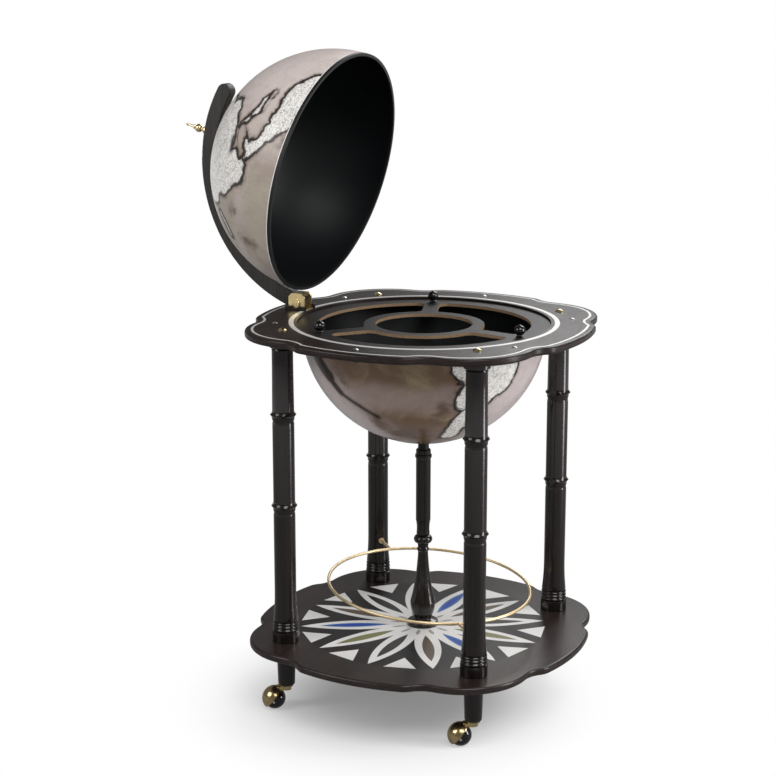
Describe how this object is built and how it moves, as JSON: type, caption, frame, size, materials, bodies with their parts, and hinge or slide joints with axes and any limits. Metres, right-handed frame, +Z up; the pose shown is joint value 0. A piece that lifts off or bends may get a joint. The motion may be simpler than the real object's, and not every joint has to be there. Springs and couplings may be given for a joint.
{
  "type": "globe bar",
  "caption": "Floor-standing globe bar: a hollow globe whose upper half tips back on a curved arm over a slotted bottle tray, on a turned-leg stand with a shelf and casters.",
  "frame": {"origin": "on the stand's vertical axis, at floor level under the wheels", "axes": "+Z up; -Y is the front; the lid's hinge is at the back, +Y; +X to the right seen from the front"},
  "size_m": [0.55, 0.7202, 1.0721],
  "materials": {
    "dark_wood": "satin dark brown stain",
    "arm_wood": "satin charcoal brown stain",
    "tray_wood": "satin dark stain with tan raw edges",
    "globe_map": "varnished printed map outside, matte black inside",
    "dark_rim": "matte dark edging",
    "silver_inlay": "smooth silver-white inlay",
    "compass_inlay": "smooth dark panel with silver, blue and olive compass rose",
    "pale_brass": "polished pale brass",
    "grey_metal": "grey metal",
    "pale_steel": "bright zinc",
    "black_knob": "gloss black",
    "black_wheel": "gloss black"
  },
  "bodies": {
    "stand": {"table_board": "dark_wood", "outline_inlay": "silver_inlay", "ring_inlay": "silver_inlay", "bowl": "globe_map", "bowl_ring": "dark_rim", "bowl_screws": "pale_steel", "bowl_nuts": "pale_steel", "leg_bolts": "pale_brass", "foot_studs": "pale_steel", "shelf": "dark_wood", "compass_panel": "compass_inlay", "column": "dark_wood", "column_cap": "grey_metal", "column_screw": "pale_steel", "bowl_anchor_screw": "pale_steel", "rail_ring": "pale_brass", "rail_pins": "pale_brass", "hinge_bracket": "pale_brass", "hinge_strips": "dark_wood", "hinge_screws": "pale_brass", "pivot_pin": "pale_brass", "pivot_nut": "pale_brass", "leg_back_right": "dark_wood", "foot_back_right": "dark_wood", "caster_socket_back_right": "pale_brass", "leg_back_left": "dark_wood", "foot_back_left": "dark_wood", "caster_socket_back_left": "pale_brass", "leg_front_left": "dark_wood", "foot_front_left": "dark_wood", "caster_socket_front_left": "pale_brass", "leg_front_right": "dark_wood", "foot_front_right": "dark_wood", "caster_socket_front_right": "pale_brass"},
    "lid": {"meridian_arm": "arm_wood", "dome": "globe_map", "lid_rim": "dark_rim", "pole_spacer": "arm_wood", "pole_stud": "pale_steel", "pole_nut": "pale_steel", "finial": "pale_brass"},
    "tray": {"tray": "tray_wood", "tray_knobs": "black_knob", "tray_screws": "pale_steel"},
    "swivel_back_right": {"caster_hood_back_right": "pale_brass", "caster_axle_back_right": "pale_steel"},
    "wheel_back_right": {"caster_wheel_back_right": "black_wheel"},
    "swivel_back_left": {"caster_hood_back_left": "pale_brass", "caster_axle_back_left": "pale_steel"},
    "wheel_back_left": {"caster_wheel_back_left": "black_wheel"},
    "swivel_front_left": {"caster_hood_front_left": "pale_brass", "caster_axle_front_left": "pale_steel"},
    "wheel_front_left": {"caster_wheel_front_left": "black_wheel"},
    "swivel_front_right": {"caster_hood_front_right": "pale_brass", "caster_axle_front_right": "pale_steel"},
    "wheel_front_right": {"caster_wheel_front_right": "black_wheel"}
  },
  "joints": [
    {"name": "lid_hinge", "type": "hinge", "parent": "stand", "child": "lid", "pos_m": [0, 0.2295, 0.6515], "axis": [1, 0, 0], "range_deg": [0, 76.5]},
    {"name": "tray_lift", "type": "slide", "parent": "stand", "child": "tray", "axis": [0, 0, -1], "range_m": [-0.12, 0]},
    {"name": "swivel_back_right", "type": "hinge", "parent": "stand", "child": "swivel_back_right", "pos_m": [0.169, 0.169, 0.04], "axis": [0, 0, 1], "continuous": true},
    {"name": "roll_back_right", "type": "hinge", "parent": "swivel_back_right", "child": "wheel_back_right", "pos_m": [0.16023, 0.18698, 0.018], "axis": [-0.8988, -0.4384, 0], "continuous": true},
    {"name": "swivel_back_left", "type": "hinge", "parent": "stand", "child": "swivel_back_left", "pos_m": [-0.169, 0.169, 0.04], "axis": [0, 0, 1], "continuous": true},
    {"name": "roll_back_left", "type": "hinge", "parent": "swivel_back_left", "child": "wheel_back_left", "pos_m": [-0.17777, 0.18698, 0.018], "axis": [-0.8988, -0.4384, 0], "continuous": true},
    {"name": "swivel_front_left", "type": "hinge", "parent": "stand", "child": "swivel_front_left", "pos_m": [-0.169, -0.169, 0.04], "axis": [0, 0, 1], "continuous": true},
    {"name": "roll_front_left", "type": "hinge", "parent": "swivel_front_left", "child": "wheel_front_left", "pos_m": [-0.17777, -0.15102, 0.018], "axis": [-0.8988, -0.4384, 0], "continuous": true},
    {"name": "swivel_front_right", "type": "hinge", "parent": "stand", "child": "swivel_front_right", "pos_m": [0.169, -0.169, 0.04], "axis": [0, 0, 1], "continuous": true},
    {"name": "roll_front_right", "type": "hinge", "parent": "swivel_front_right", "child": "wheel_front_right", "pos_m": [0.16023, -0.15102, 0.018], "axis": [-0.8988, -0.4384, 0], "continuous": true}
  ]
}
